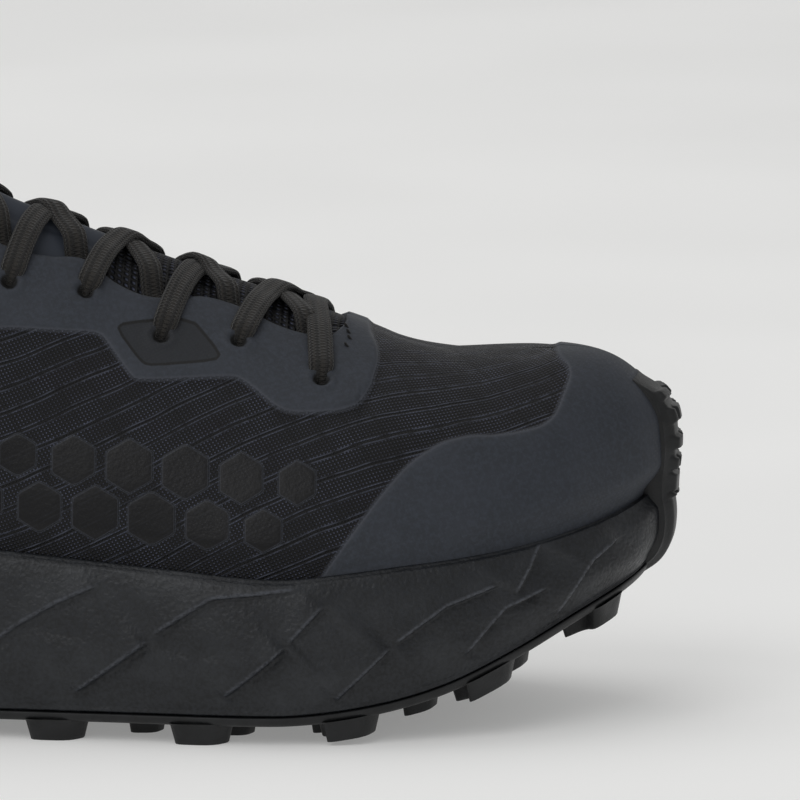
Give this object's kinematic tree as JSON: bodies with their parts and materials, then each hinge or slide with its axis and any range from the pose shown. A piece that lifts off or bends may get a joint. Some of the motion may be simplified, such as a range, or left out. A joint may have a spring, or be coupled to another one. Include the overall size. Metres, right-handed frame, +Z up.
{
  "type": "trail running shoe",
  "caption": "Low-cut trail running shoe for the right foot: thick foam midsole in a lugged rubber outsole, ripstop upper with bonded overlays, laced tongue.",
  "frame": {"origin": "on the floor under the middle of the shoe's overall box", "axes": "+X from heel to toe, +Y to the inner side of the foot, +Z up"},
  "size_m": [0.2948, 0.1086, 0.1483],
  "materials": {
    "outsole_rubber": "moulded matt rubber with a slight shine on its edges",
    "midsole_foam": "moulded foam with a fine pebbled skin",
    "ripstop_mesh": "woven ripstop mesh with raised rib lines",
    "tongue_mesh": "coarse padded air mesh",
    "sock_lining": "brushed knit over foam",
    "overlay_film": "thin matt polyurethane film bonded to the mesh",
    "lace_braid": "flat braided polyester"
  },
  "bodies": {
    "root": {"outsole": "outsole_rubber", "midsole": "midsole_foam", "upper": "ripstop_mesh", "tongue": "tongue_mesh", "insole": "sock_lining", "toe_cap": "overlay_film", "eyestay": "overlay_film", "heel_counter": "overlay_film", "lace": "lace_braid"}
  },
  "joints": []
}
